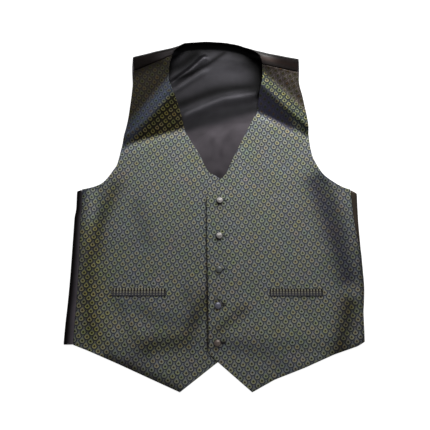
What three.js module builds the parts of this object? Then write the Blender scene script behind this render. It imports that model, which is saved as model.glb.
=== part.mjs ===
// A suit waistcoat laid out flat, face up, on a table.
// Millimetres. x runs across the body, y up it from hem to shoulder, z off the table.
// The wearer's right front carries the buttons and lies on the -x side.
// The wearer's left front carries the buttonholes and laps over it.
import * as THREE from 'three';

// cloth
const frontWall = 2.0;
const backWall = 1.2;
const liningWall = 0.9;
const weltWall = 1.6;
const seamGap = 0.3;
const foldSeamGap = 1.2;        // on a fold, where the two walls' ends lean together

// how the layers lie
const backHeight = backWall / 2;
const layHeight = 4.2;          // middle of a front's wall where it lies on the back
const tableHeight = 1.3;        // the same where the hem's points lie on the table
const pointFall = { from: -244, to: -278 };
const hemReach = -134;          // the hem's slant has faded out of the sections by here
const settleLength = 25;        // from a side fold to where the front lies at its own height
const foldEnd = { from: 0.8, to: 0.92 };  // soft folds die out before the front edge
const lapRise = 3.0;            // the left front lies this much higher where it laps
const lapFlat = 22;             // just past the right front's edge under the lap
const lapFade = 30;

// shoulder fold
const crestLift = 0.8;
const necklineAngle = 0.1;      // how far up the fold the back neckline is cut, from level
const strapShare = 0.3;         // of the back's width, at the top, that is one shoulder
const armholeInset = 3;         // the back's armhole lies inside the front's
const armholeJoin = { from: 178, to: 292 };  // where the two come together at the shoulder
const armpitReach = 40;         // length of side over which the armpit's corner drops
const strapFlare = 4;           // rows by which a strap's ends still move out past its fold

// pockets and buttons
const button = { radius: 6.5, rim: 1.5, dome: 3.1, shankRadius: 1.8, shank: 1.1, sides: 24 };

// each front from its own edges, in steps up the body
const rightFront = {
  hand: -1,
  lapped: false,
  side: [
    { y: -260, x: 270.9 }, { y: -227, x: 270.1 }, { y: -184, x: 268.0 }, { y: -130, x: 266.5 },
    { y: -66, x: 265.9 }, { y: -25, x: 265.6 }, { y: -8, x: 263.4 }, { y: 29.8, x: 264.0 },
  ],
  armhole: [
    { y: 29.6, x: 254.4 }, { y: 34.4, x: 234.6 }, { y: 43.4, x: 216.2 }, { y: 69.2, x: 196.6 },
    { y: 79.4, x: 190.5 }, { y: 119.4, x: 182.0 }, { y: 158.9, x: 174.0 }, { y: 210.8, x: 166.9 },
    { y: 234.6, x: 164.6 }, { y: 270.6, x: 162.5 },
  ],
  inner: [
    { y: -278, x: -18 }, { y: 38, x: -18 }, { y: 56, x: -2 }, { y: 65.1, x: 13.5 }, { y: 99.5, x: 31 },
    { y: 125, x: 46.6 }, { y: 152.4, x: 60.9 }, { y: 175.6, x: 66.2 }, { y: 209.8, x: 77 },
    { y: 242.8, x: 88.8 }, { y: 255.8, x: 93.3 }, { y: 279.4, x: 92.8 }, { y: 303.9, x: 87 },
  ],
  hem: [
    { x: 270.9, y: -259.2 }, { x: 250.4, y: -260.3 }, { x: 229.1, y: -268.4 }, { x: 170.8, y: -293.0 },
    { x: 117.6, y: -316.6 }, { x: 62.6, y: -340.7 }, { x: -18, y: -278.3 },
  ],
  hemPoint: 62.6,
  armpitDrop: 2.5,
  // distance of the side seam from the fold's edge, forward over the front
  seam: [{ y: -259, s: 19.3 }, { y: -124, s: 16.0 }, { y: 29.6, s: 11.0 }],
  // sections from the side or armhole to the front or neck edge, and how high each end rises
  sections: [
    { outer: -259.2, inner: -278.3, outerRise: 2.0, innerRise: 0, rows: 3 },
    { outer: -225, inner: -231, outerRise: 1.3, innerRise: 0, rows: 3 },
    { outer: -144, inner: -142, outerRise: 1.2, innerRise: 0, rows: 5 },
    { outer: 29.6, inner: 37, outerRise: 1.2, innerRise: 0, rows: 5 },
    { outer: 81.6, inner: 94.6, outerRise: 1.0, innerRise: 0.6, rows: 4 },
    { outer: 120.4, inner: 153, outerRise: 1.2, innerRise: 1.6, rows: 5 },
    { outer: 137.5, inner: 232, outerRise: 6.0, innerRise: 14.0, rows: 2 },
    { outer: 159.6, inner: 260.5, outerRise: 6.5, innerRise: 15.0, rows: 5 },
    { outer: 270.6, inner: 303.9, outerRise: 18.0, innerRise: 21.0, rows: 0 },
  ],
  folds: [
    { x1: 226, y1: 31, x2: 219, y2: -104, width: 13, height: -0.9 },
    { x1: 192, y1: -180, x2: 116, y2: -303, width: 16, height: -0.8 },
  ],
  fold: { arm: 169.4, neck: 68.5 },
  welt: { x: 140.6, y: -165.7, length: 100, depth: 14.5, tilt: 0 },
};

const leftFront = {
  hand: 1,
  lapped: true,
  side: [
    { y: -254, x: 264.4 }, { y: -233, x: 265.2 }, { y: -203, x: 265.8 }, { y: -181, x: 268.2 },
    { y: -152, x: 270.1 }, { y: -114, x: 269.2 }, { y: -79, x: 268.3 }, { y: -31, x: 267.2 },
    { y: 29.8, x: 267.9 },
  ],
  armhole: [
    { y: 29.6, x: 256.4 }, { y: 35, x: 241.4 }, { y: 50, x: 217.2 }, { y: 62.1, x: 204.8 },
    { y: 80.6, x: 194.1 }, { y: 98.1, x: 186.5 }, { y: 124.2, x: 182.3 }, { y: 168, x: 179.4 },
    { y: 197.1, x: 175.4 }, { y: 219.3, x: 171.2 }, { y: 245.3, x: 164.8 }, { y: 268.4, x: 163.2 },
  ],
  inner: [
    { y: -273, x: -13.6 }, { y: -260, x: -12.9 }, { y: 8, x: -17.7 }, { y: 22.2, x: -15.2 },
    { y: 32.1, x: -7.7 }, { y: 48.2, x: 7 }, { y: 60.2, x: 18.7 }, { y: 87.9, x: 30.7 },
    { y: 125, x: 48.3 }, { y: 151.2, x: 60.9 }, { y: 175.3, x: 73.3 }, { y: 191.6, x: 80.6 },
    { y: 231.7, x: 86.9 }, { y: 255, x: 91.4 }, { y: 273.4, x: 92.6 }, { y: 284.4, x: 91.7 },
  ],
  hem: [
    { x: 264.4, y: -253.5 }, { x: 249.9, y: -262.2 }, { x: 208.6, y: -276.3 }, { x: 155.3, y: -299.4 },
    { x: 102.4, y: -319.5 }, { x: 63, y: -340.7 }, { x: 2.8, y: -289.2 }, { x: -13.6, y: -272.5 },
  ],
  hemPoint: 63,
  armpitDrop: 6.5,
  seam: [
    { y: -254, s: -2.0 }, { y: -144, s: -1.6 }, { y: -102, s: 0 }, { y: -64, s: 5.4 }, { y: -22, s: 10.2 },
    { y: 29.6, s: 13.3 },
  ],
  sections: [
    { outer: -253.5, inner: -272.5, outerRise: 2.0, innerRise: 0, rows: 3 },
    { outer: -225, inner: -231, outerRise: 1.3, innerRise: 0, rows: 3 },
    { outer: -144, inner: -142, outerRise: 1.2, innerRise: 0, rows: 5 },
    { outer: 29.6, inner: 34, outerRise: 1.2, innerRise: 0, rows: 5 },
    { outer: 81.6, inner: 93.8, outerRise: 1.0, innerRise: 0.6, rows: 5 },
    { outer: 142.4, inner: 190.6, outerRise: 1.2, innerRise: 3.0, rows: 4 },
    { outer: 155.1, inner: 242, outerRise: 6.5, innerRise: 15.0, rows: 3 },
    { outer: 195, inner: 271.8, outerRise: 7.5, innerRise: 16.8, rows: 4 },
    { outer: 268.4, inner: 284.4, outerRise: 17.5, innerRise: 20.5, rows: 0 },
  ],
  folds: [
    { x1: 194, y1: 70, x2: 225, y2: -66, width: 13, height: -1.2 },
    { x1: 225, y1: -66, x2: 240, y2: -233, width: 13, height: -1.2 },
  ],
  fold: { arm: 168.8, neck: 68.5 },
  welt: { x: 146.3, y: -166.3, length: 97.5, depth: 14, tilt: 0 },
};

// top of the outline across the back: the shoulder folds and, between them, the neckline
const topEdge = [
  { x: -169.6, y: 305.3 }, { x: -130.8, y: 315.8 }, { x: -73.8, y: 330.6 }, { x: -57.6, y: 339.0 },
  { x: -16, y: 341.2 }, { x: 14.4, y: 339.6 }, { x: 44.8, y: 334.0 }, { x: 68, y: 323.8 },
  { x: 121.6, y: 310.8 }, { x: 168.8, y: 301.8 },
];

// folds that cross the lining inside the neck
const liningFolds = [
  { x1: -92, y1: 271, x2: -21, y2: 312, width: 7, height: 3.6 },
  { x1: -84, y1: 249, x2: -10, y2: 293, width: 7, height: 2.2 },
  { x1: -65, y1: 189, x2: 14, y2: 223, width: 9, height: 2.8 },
  { x1: 14, y1: 223, x2: 80, y2: 237, width: 9, height: 2.8 },
];
const liningMargin = 18;
const liningFoot = 29;
const liningSlack = 1.1;        // extra room between back and lining where both turn up
const liningTop = 312;
const liningLap = { right: 8, left: 14 };  // least reach to each side of the V's foot

const buttons = [
  { x: 7.1, y: 7.4 }, { x: 6.0, y: -61.3 }, { x: 5.9, y: -124.2 },
  { x: 3.6, y: -190.4 }, { x: 2.6, y: -256.7 },
];

const colours = {
  satin: { color: 0x1c191b, roughness: 0.38, metalness: 0 },
  lining: { color: 0x3b393e, roughness: 0.36, metalness: 0 },
  jacquard: { color: 0x5a5d56, roughness: 0.5, metalness: 0 },
  button: { color: 0x77757a, roughness: 0.22, metalness: 0 },
};

// numbers

const clamp = THREE.MathUtils.clamp;
const lerp = THREE.MathUtils.lerp;
const step = (from, to, at) => {
  const t = clamp((at - from) / (to - from), 0, 1);
  return t * t * (3 - 2 * t);
};

// smooth curve through a table's rows that never overshoots them
function readSmooth(rows, key, column, at) {
  const last = rows.length - 1;
  if (at <= rows[0][key]) return rows[0][column];
  if (at >= rows[last][key]) return rows[last][column];
  const i = rows.findIndex((row) => row[key] > at) - 1;
  const slope = (k) => {
    if (k < 0 || k >= last) return null;
    return (rows[k + 1][column] - rows[k][column]) / (rows[k + 1][key] - rows[k][key]);
  };
  const tangent = (before, after) => {
    if (before === null || after === null) return before ?? after;
    return before * after <= 0 ? 0 : (2 * before * after) / (before + after);
  };
  const here = slope(i);
  const m0 = tangent(slope(i - 1), here);
  const m1 = tangent(here, slope(i + 1));
  const span = rows[i + 1][key] - rows[i][key];
  const t = (at - rows[i][key]) / span;
  const a = rows[i][column];
  const b = rows[i + 1][column];
  return a * (1 + 2 * t) * (1 - t) ** 2 + m0 * span * t * (1 - t) ** 2
    + b * t * t * (3 - 2 * t) + m1 * span * t * t * (t - 1);
}

function readStraight(rows, key, column, at) {
  const ascending = rows[0][key] < rows[rows.length - 1][key];
  const sorted = ascending ? rows : [...rows].reverse();
  const i = clamp(sorted.findIndex((row) => row[key] >= at), 1, sorted.length - 1);
  const t = clamp((at - sorted[i - 1][key]) / (sorted[i][key] - sorted[i - 1][key]), 0, 1);
  return lerp(sorted[i - 1][column], sorted[i][column], t);
}

// height that a list of soft folds adds at a point
function foldHeight(folds, x, y) {
  let sum = 0;
  for (const fold of folds) {
    const dx = fold.x2 - fold.x1;
    const dy = fold.y2 - fold.y1;
    const length = Math.hypot(dx, dy);
    const along = ((x - fold.x1) * dx + (y - fold.y1) * dy) / length;
    const off = ((x - fold.x1) * dy - (y - fold.y1) * dx) / length;
    const reach = Math.min(0, along, length - along) / fold.width;
    sum += fold.height * Math.exp(-((off / fold.width) ** 2) - reach * reach);
  }
  return sum;
}

// a wall of even thickness about a grid of points, some of which may be missing
function wall(grid, thickness) {
  const rows = grid.length;
  const columns = grid[0].length;
  const present = (i, j) => i >= 0 && j >= 0 && i < rows && j < columns && grid[i][j] !== null;
  const cell = (i, j) => present(i, j) && present(i + 1, j) && present(i, j + 1) && present(i + 1, j + 1);
  const across = new THREE.Vector3();
  const up = new THREE.Vector3();
  const normalAt = (i, j) => {
    const sum = new THREE.Vector3();
    for (const [ci, cj] of [[i - 1, j - 1], [i - 1, j], [i, j - 1], [i, j]]) {
      if (!cell(ci, cj)) continue;
      across.subVectors(grid[ci][cj + 1], grid[ci][cj]).add(grid[ci + 1][cj + 1]).sub(grid[ci + 1][cj]);
      up.subVectors(grid[ci + 1][cj], grid[ci][cj]).add(grid[ci + 1][cj + 1]).sub(grid[ci][cj + 1]);
      sum.add(across.clone().cross(up).normalize());
    }
    return sum.normalize();
  };
  const positions = [];
  const index = grid.map((row, i) => row.map((point, j) => {
    if (point === null) return null;
    const n = normalAt(i, j);
    const at = positions.length / 3;
    positions.push(...point.clone().addScaledVector(n, thickness / 2).toArray());
    positions.push(...point.clone().addScaledVector(n, -thickness / 2).toArray());
    return at;
  }));
  const faces = [];
  const quad = (a, b, c, d) => faces.push(a, b, c, a, c, d);
  const rim = (a, b) => quad(a, a + 1, b + 1, b);
  for (let i = 0; i < rows - 1; i++) {
    for (let j = 0; j < columns - 1; j++) {
      if (!cell(i, j)) continue;
      const a = index[i][j];
      const b = index[i][j + 1];
      const c = index[i + 1][j + 1];
      const d = index[i + 1][j];
      quad(a, b, c, d);
      quad(a + 1, d + 1, c + 1, b + 1);
      if (!cell(i - 1, j)) rim(a, b);
      if (!cell(i, j + 1)) rim(b, c);
      if (!cell(i + 1, j)) rim(c, d);
      if (!cell(i, j - 1)) rim(d, a);
    }
  }
  const geometry = new THREE.BufferGeometry();
  geometry.setAttribute('position', new THREE.Float32BufferAttribute(positions, 3));
  geometry.setIndex(faces);
  geometry.computeVertexNormals();
  return geometry;
}

// fronts: a point is found by its section (named by the height of the section's outer end)
// and by its distance from the outer edge, measured along the cloth

const armpitOf = (front) => front.armhole[0].y;
const outerEdge = (front, v) => (v > armpitOf(front)
  ? readSmooth(front.armhole, 'y', 'x', v)
  : readSmooth(front.side, 'y', 'x', v));
const rollRadius = (front, v) => (v > armpitOf(front)
  ? 0
  : (layHeight + readSmooth(front.sections, 'outer', 'outerRise', v) - backHeight) / 2);
const restHeight = (y) => lerp(tableHeight, layHeight, step(pointFall.to, pointFall.from, y));
const lapHeight = (x) => lapRise * (1 - step(lapFlat, lapFlat + lapFade, x));

function frontPoint(front, v, s) {
  const radius = rollRadius(front, v);
  const quarter = (radius * Math.PI) / 2;
  const edge = outerEdge(front, v);
  const innerY = readSmooth(front.sections, 'outer', 'inner', v);
  const innerX = readSmooth(front.inner, 'y', 'x', innerY);
  const whole = edge - innerX - radius + quarter;
  const t = clamp(s / whole, 0, 1);
  const low = front.sections[0];
  const x = edge - radius - (s - quarter);
  const hemX = lerp(front.hem[0].x, front.hem[front.hem.length - 1].x, t);
  const dip = readStraight(front.hem, 'x', 'y', hemX) - lerp(low.outer, low.inner, t);
  const fade = 1 - step(low.outer, hemReach, v);
  const y = lerp(v, innerY, t) + dip * fade;
  const rise = lerp(readSmooth(front.sections, 'outer', 'outerRise', v),
    readSmooth(front.sections, 'outer', 'innerRise', v), t);
  if (s < quarter) {
    const angle = s / radius;
    const z = backHeight + radius * (1 + Math.sin(angle));
    return new THREE.Vector3(front.hand * (edge - radius + radius * Math.cos(angle)), y, z);
  }
  const settle = step(quarter, quarter + settleLength, s);
  const base = lerp(layHeight, restHeight(y), settle);
  const lap = front.lapped ? lapHeight(x) : 0;
  const free = settle * (1 - step(foldEnd.from, foldEnd.to, t));
  return new THREE.Vector3(front.hand * x, y, base + rise + lap + foldHeight(front.folds, x, y) * free);
}

const sectionLength = (front, v) => {
  const radius = rollRadius(front, v);
  const innerX = readSmooth(front.inner, 'y', 'x', readSmooth(front.sections, 'outer', 'inner', v));
  return outerEdge(front, v) - innerX - radius + (radius * Math.PI) / 2;
};

// half the gap at a side seam, wider where the seam runs round the fold
function halfGap(front, v) {
  const quarter = (rollRadius(front, v) * Math.PI) / 2;
  const s = readSmooth(front.seam, 'y', 's', v);
  return lerp(foldSeamGap, seamGap, step(quarter, quarter + 6, s)) / 2;
}

// the section and distance that meet a given place, found by halving
function placeOn(front, x, y) {
  let low = front.sections[0].outer;
  let high = front.sections[front.sections.length - 1].outer;
  let s = 0;
  for (let turn = 0; turn < 40; turn++) {
    const v = (low + high) / 2;
    const radius = rollRadius(front, v);
    s = outerEdge(front, v) - radius + (radius * Math.PI) / 2 - x;
    if (frontPoint(front, v, s).y < y) low = v;
    else high = v;
  }
  return { v: (low + high) / 2, s };
}

// where the rows of a front fall
function rowHeights(front) {
  const heights = [];
  front.sections.forEach((section, k) => {
    const next = front.sections[k + 1];
    for (let i = 0; i < section.rows; i++) heights.push(lerp(section.outer, next.outer, i / section.rows));
  });
  heights.push(front.sections[front.sections.length - 1].outer);
  return heights;
}

// columns of a front: close together round the side fold, then even to the hem's point
// and on to the front edge
const sideSteps = [0, 1.3, 2.6, 4.2, 7];
const toPoint = 9;
const toInner = 5;
const weltRows = 3;
const weltColumns = 16;

function frontGrid(front) {
  const share = (front.hem[0].x - front.hemPoint) / (front.hem[0].x - front.hem[front.hem.length - 1].x);
  return rowHeights(front).map((v) => {
    const start = v > armpitOf(front) ? 0 : readSmooth(front.seam, 'y', 's', v) + halfGap(front, v);
    const length = sectionLength(front, v);
    const stops = sideSteps.map((d) => start + d);
    const from = stops[stops.length - 1];
    for (let k = 1; k <= toPoint; k++) stops.push(lerp(from, share * length, k / toPoint));
    for (let k = 1; k <= toInner; k++) stops.push(lerp(share * length, length, k / toInner));
    return stops.map((s) => frontPoint(front, v, s));
  });
}

// rows run up and columns run inward, so the -x front is turned over to face out
const facing = (grid, hand) => (hand < 0 ? grid : grid.map((row) => [...row].reverse()));

function frontWallOf(front) {
  const grid = frontGrid(front);
  const top = grid[grid.length - 1];
  top.forEach((point) => {
    point.y -= seamGap / 2;
  });
  return wall(facing(grid, front.hand), frontWall);
}

function weltOn(front) {
  const { x, y, length, depth, tilt } = front.welt;
  const lift = frontWall / 2 + seamGap + weltWall / 2;
  const grid = [];
  for (let i = 0; i <= weltRows; i++) {
    const row = [];
    for (let j = 0; j <= weltColumns; j++) {
      const dx = length * (0.5 - j / weltColumns);
      const dy = depth * (i / weltRows - 0.5) + dx * tilt;
      const place = placeOn(front, x + dx, y + dy);
      const point = frontPoint(front, place.v, place.s);
      point.z += lift;
      row.push(point);
    }
    grid.push(row);
  }
  return wall(facing(grid, front.hand), weltWall);
}

// back: a point is found by its place across (0 to 1) and its row

const crestAt = (x) => {
  const ends = [rightFront, leftFront].map((front) => {
    const seam = front.sections[front.sections.length - 1];
    return [
      { x: front.hand * front.fold.neck, z: layHeight + seam.innerRise + crestLift },
      { x: front.hand * front.fold.arm, z: layHeight + seam.outerRise + crestLift },
    ];
  }).flat();
  return readStraight(ends.sort((a, b) => a.x - b.x), 'x', 'z', x);
};
const foldRadius = (x) => (crestAt(x) - backHeight) / 2;
const foldEdge = (x) => readSmooth(topEdge, 'x', 'y', x) - backWall / 2;

// around the shoulder fold, by angle from level, set in from the back by a lift
function roundShoulder(x, angle, lift = 0) {
  const radius = foldRadius(x) - lift;
  const middle = foldEdge(x) - foldRadius(x);
  const y = middle + radius * Math.cos(angle);
  return new THREE.Vector3(x, y, backHeight + foldRadius(x) + radius * Math.sin(angle));
}

const bodyColumns = 20;
const shoulderColumns = bodyColumns * strapShare;
const armholeRows = [0.03, 0.06, 0.1, 0.165, 0.255, 0.375, 0.53, 0.69, 0.86];
const rad = THREE.MathUtils.degToRad;
const foldAngles = [
  rad(-90), rad(-70), rad(-50), rad(-30), rad(-12), necklineAngle, rad(26), rad(48), rad(69), rad(90),
];
const necklineRow = foldAngles.indexOf(necklineAngle);
const seamRows = 2;
// columns of a side wrap: round the fold to wrapReach, then on to the seam
const wrapReach = rad(50);
const roundShares = [0, 0.2, 0.4, 0.6, 0.8, 1];
const flatShares = [0.3, 0.62, 1];
const leastFlat = 0.6;

function cornerHeight(front, v) {
  return v - front.armpitDrop * step(armpitOf(front) - armpitReach, armpitOf(front), v);
}

// the back's cloth round a side fold, from under the waistcoat to the side seam
function sideWrap(front, v) {
  const radius = rollRadius(front, v);
  const edge = outerEdge(front, v);
  const seam = readSmooth(front.seam, 'y', 's', v) - halfGap(front, v);
  const low = cornerHeight(front, v);
  const reach = Math.min(seam - leastFlat, radius * wrapReach);
  const points = roundShares.map((share) => {
    const angle = lerp(-Math.PI / 2, reach / radius, share);
    return new THREE.Vector3(
      front.hand * (edge - radius + radius * Math.cos(angle)),
      low,
      backHeight + radius * (1 + Math.sin(angle)),
    );
  });
  for (const share of flatShares) {
    const point = frontPoint(front, v, lerp(reach, seam, share));
    point.y = lerp(low, v, share);
    points.push(point);
  }
  return points;
}

function backGrid() {
  const grid = [];
  const sideCount = roundShares.length + flatShares.length - 1;
  const empty = () => new Array(sideCount).fill(null);
  const rightRows = rowHeights(rightFront).filter((v) => v <= armpitOf(rightFront));
  const leftRows = rowHeights(leftFront).filter((v) => v <= armpitOf(leftFront));
  rightRows.forEach((v, i) => {
    const right = sideWrap(rightFront, v).reverse();
    const left = sideWrap(leftFront, leftRows[i]);
    const a = right[right.length - 1];
    const b = left[0];
    const row = [...right];
    for (let k = 1; k < bodyColumns; k++) row.push(a.clone().lerp(b, k / bodyColumns));
    grid.push([...row, ...left]);
  });
  const foldX = (k) => lerp(-rightFront.fold.arm, leftFront.fold.arm, k / bodyColumns);
  const foldFoot = (k) => foldEdge(foldX(k)) - foldRadius(foldX(k));
  const armpit = grid[grid.length - 1].slice(sideCount, sideCount + bodyColumns + 1);
  const armEdge = (front, y) => front.hand * lerp(
    readSmooth(front.armhole, 'y', 'x', y) - armholeInset,
    front.fold.arm,
    step(armholeJoin.from, armholeJoin.to, y),
  );
  for (const rise of armholeRows) {
    const start = armEdge(rightFront, lerp(armpit[0].y, foldFoot(0), rise));
    const end = armEdge(leftFront, lerp(armpit[bodyColumns].y, foldFoot(bodyColumns), rise));
    const row = armpit.map((foot, k) => new THREE.Vector3(
      lerp(start, end, k / bodyColumns),
      lerp(foot.y, foldFoot(k), rise),
      backHeight,
    ));
    grid.push([...empty(), ...row, ...empty()]);
  }
  const seamOf = (front) => ({
    arm: new THREE.Vector3(front.hand * outerEdge(front, front.sections[front.sections.length - 1].outer),
      front.sections[front.sections.length - 1].outer, 0),
    neck: new THREE.Vector3(front.hand * front.inner[front.inner.length - 1].x,
      front.sections[front.sections.length - 1].inner, 0),
  });
  const seams = { right: seamOf(rightFront), left: seamOf(leftFront) };
  const seamPoint = (k) => {
    if (k <= shoulderColumns) {
      return seams.right.arm.clone().lerp(seams.right.neck, k / shoulderColumns);
    }
    return seams.left.arm.clone().lerp(seams.left.neck, (bodyColumns - k) / shoulderColumns);
  };
  const isShoulder = (k) => k <= shoulderColumns || k >= bodyColumns - shoulderColumns;
  foldAngles.forEach((angle, turn) => {
    const row = [];
    for (let k = 0; k <= bodyColumns; k++) {
      if (turn > necklineRow && !isShoulder(k)) {
        row.push(null);
        continue;
      }
      const point = roundShoulder(foldX(k), angle);
      const flare = step(0, foldAngles.length + strapFlare, turn);
      if (isShoulder(k)) point.x = lerp(point.x, seamPoint(k).x, flare);
      row.push(point);
    }
    grid.push([...empty(), ...row, ...empty()]);
  });
  for (let i = 1; i <= seamRows; i++) {
    const row = [];
    for (let k = 0; k <= bodyColumns; k++) {
      if (!isShoulder(k)) {
        row.push(null);
        continue;
      }
      const seam = seamPoint(k);
      seam.y += seamGap / 2;
      seam.z = crestAt(foldX(k)) - crestLift;
      const crest = grid[grid.length - i][sideCount + k];
      row.push(crest.clone().lerp(seam, i / seamRows));
    }
    grid.push([...empty(), ...row, ...empty()]);
  }
  return grid;
}

// lining inside the neck, lying on the back and turning up with it at the neckline
const liningColumns = 14;
const liningRows = 12;
const liningEase = { side: 0.16, top: 18, slack: 30 };

function liningGrid() {
  const lift = (backWall + liningWall) / 2 + seamGap;
  const innerAt = (front, y) => front.hand * readSmooth(front.inner, 'y', 'x', y);
  const grid = [];
  const rowAt = (point) => {
    const row = [];
    for (let k = 0; k <= liningColumns; k++) row.push(point(k / liningColumns));
    return row;
  };
  for (let i = 0; i <= liningRows; i++) {
    const rise = i / liningRows;
    const roughY = lerp(liningFoot, liningTop, rise);
    const start = Math.min(innerAt(rightFront, roughY), -liningLap.right) - liningMargin;
    const end = Math.max(innerAt(leftFront, roughY), liningLap.left) + liningMargin;
    grid.push(rowAt((share) => {
      const x = lerp(start, end, share);
      const top = foldEdge(x) - foldRadius(x);
      const y = lerp(liningFoot, top, rise);
      const { side } = liningEase;
      const inside = step(0, side, share) * (1 - step(1 - side, 1, share));
      const folds = foldHeight(liningFolds, x, y) * inside * (1 - step(top - liningEase.top, top, y));
      const slack = liningSlack * step(top - liningEase.slack, top, y);
      return new THREE.Vector3(x, y, backHeight + lift + slack + folds);
    }));
  }
  const last = grid[grid.length - 1];
  for (const angle of foldAngles.slice(1, necklineRow + 1)) {
    grid.push(last.map((foot) => roundShoulder(foot.x, angle, lift + liningSlack)));
  }
  return grid;
}

// a domed button with a raised rim on a short thread shank
function buttonGeometry() {
  const profile = [
    new THREE.Vector2(0, 0),
    new THREE.Vector2(button.shankRadius, 0),
    new THREE.Vector2(button.shankRadius, button.shank),
    new THREE.Vector2(button.radius * 0.8, button.shank),
    new THREE.Vector2(button.radius, button.shank + button.rim * 0.45),
    new THREE.Vector2(button.radius * 0.96, button.shank + button.rim),
    new THREE.Vector2(button.radius * 0.8, button.shank + button.rim * 1.15),
    new THREE.Vector2(button.radius * 0.45, button.shank + button.dome * 0.93),
    new THREE.Vector2(0, button.shank + button.dome),
  ];
  return new THREE.LatheGeometry(profile, button.sides).rotateX(Math.PI / 2);
}

const waistcoat = new THREE.Group();
function add(name, geometry, finish) {
  const mesh = new THREE.Mesh(geometry, new THREE.MeshStandardMaterial(finish));
  mesh.name = name;
  waistcoat.add(mesh);
  return mesh;
}

add('back_panel', wall(backGrid().map((row) => [...row].reverse()), backWall), colours.satin);
add('back_lining', wall(liningGrid(), liningWall), colours.lining);
add('front_right', frontWallOf(rightFront), colours.jacquard);
add('front_left', frontWallOf(leftFront), colours.jacquard);
add('welt_right', weltOn(rightFront), colours.jacquard);
add('welt_left', weltOn(leftFront), colours.jacquard);
buttons.forEach(({ x, y }, i) => {
  const place = placeOn(leftFront, x, y);
  const seat = frontPoint(leftFront, place.v, place.s);
  const mesh = add(`button_${i + 1}`, buttonGeometry(), colours.button);
  mesh.position.set(seat.x, seat.y, seat.z + frontWall / 2 + seamGap);
});

export default waistcoat;
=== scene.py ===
import math
import bpy
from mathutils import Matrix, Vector, noise


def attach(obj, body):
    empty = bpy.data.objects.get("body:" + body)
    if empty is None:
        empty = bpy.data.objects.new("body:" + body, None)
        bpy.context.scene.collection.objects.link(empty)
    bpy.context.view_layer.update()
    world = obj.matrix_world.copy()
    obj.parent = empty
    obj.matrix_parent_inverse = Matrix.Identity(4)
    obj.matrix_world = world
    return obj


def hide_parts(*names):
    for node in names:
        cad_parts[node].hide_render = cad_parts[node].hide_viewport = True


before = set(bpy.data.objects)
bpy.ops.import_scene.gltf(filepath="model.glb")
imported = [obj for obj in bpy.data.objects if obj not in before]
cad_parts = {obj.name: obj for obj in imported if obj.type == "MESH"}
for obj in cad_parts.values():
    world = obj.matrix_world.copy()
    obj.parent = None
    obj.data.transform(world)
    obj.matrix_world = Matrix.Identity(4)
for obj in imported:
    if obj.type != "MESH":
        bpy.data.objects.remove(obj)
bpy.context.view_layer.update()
scene = bpy.context.scene
mm = 0.001
mapUnit = 100                            # millimetres of cloth to one unit of its map
quarterTurn = math.pi / 2

camera = {
    "tilt": 15.4,                        # degrees off straight down, seen from the hem
    "lens": 51.15,
    "place": (-1.6, -325.4, 1113.5),     # millimetres
}
table = {"size": 12.0, "drop": 0.0002, "colour": (0.90, 0.90, 0.90), "roughness": 0.85, "glow": 0.85}
lamps = [
    {"name": "windowLamp", "place": (0.22, 1.45, 1.50), "size": (1.3, 0.7), "power": 15},
    {"name": "lowLamp", "place": (1.0, 1.3, 0.50), "size": (0.8, 0.4), "power": 8},
]
lampAim = Vector((0, 0.02, 0))
world = {"colour": (1.0, 1.0, 1.0), "strength": 0.2}


def newObject(name, data):
    made = bpy.data.objects.new(name, data)
    scene.collection.objects.link(made)
    return made


# a smooth object in the scene, from points in metres
def newPiece(name, points, faces, *finishes):
    mesh = bpy.data.meshes.new(name)
    mesh.from_pydata(points, [], faces)
    mesh.shade_smooth()
    for finish in finishes:
        mesh.materials.append(finish)
    return newObject(name, mesh)


def makeView():
    data = bpy.data.cameras.new("viewCamera")
    data.sensor_width = 36
    data.lens = camera["lens"]
    data.clip_end = 50
    scene.camera = newObject("viewCamera", data)
    scene.camera.location = [value * mm for value in camera["place"]]
    scene.camera.rotation_euler = (math.radians(camera["tilt"]), 0, 0)
    for lamp in lamps:
        light = bpy.data.lights.new(lamp["name"], "AREA")
        light.shape = "RECTANGLE"
        light.size, light.size_y = lamp["size"]
        light.energy = lamp["power"]
        holder = newObject(lamp["name"], light)
        holder.location = lamp["place"]
        holder.rotation_euler = (lampAim - holder.location).to_track_quat("-Z", "Y").to_euler()
    sky = bpy.data.worlds.new("studioSky")
    sky.use_nodes = True
    background = sky.node_tree.nodes["Background"]
    background.inputs["Color"].default_value = (*world["colour"], 1)
    background.inputs["Strength"].default_value = world["strength"]
    scene.world = sky
    scene.view_settings.view_transform = "Standard"


def clamp(value, low=0.0, high=1.0):
    return max(low, min(high, value))


def lerp(a, b, t):
    return a + (b - a) * t


def ease(start, end, at):
    t = clamp((at - start) / (end - start))
    return t * t * (3 - 2 * t)


# smooth curve through (key, value) rows that never overshoots them
def curveAt(rows, at):
    last = len(rows) - 1
    if at <= rows[0][0]:
        return rows[0][1]
    if at >= rows[last][0]:
        return rows[last][1]
    i = 0
    while rows[i + 1][0] <= at:
        i += 1

    def slope(k):
        if k < 0 or k >= last:
            return None
        return (rows[k + 1][1] - rows[k][1]) / (rows[k + 1][0] - rows[k][0])

    def tangent(before, after):
        if before is None:
            return after
        if after is None:
            return before
        return 0 if before * after <= 0 else 2 * before * after / (before + after)

    here = slope(i)
    m0, m1 = tangent(slope(i - 1), here), tangent(here, slope(i + 1))
    span = rows[i + 1][0] - rows[i][0]
    t = (at - rows[i][0]) / span
    return (rows[i][1] * (1 + 2 * t) * (1 - t) ** 2 + m0 * span * t * (1 - t) ** 2
            + rows[i + 1][1] * t * t * (3 - 2 * t) + m1 * span * t * t * (t - 1))


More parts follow.
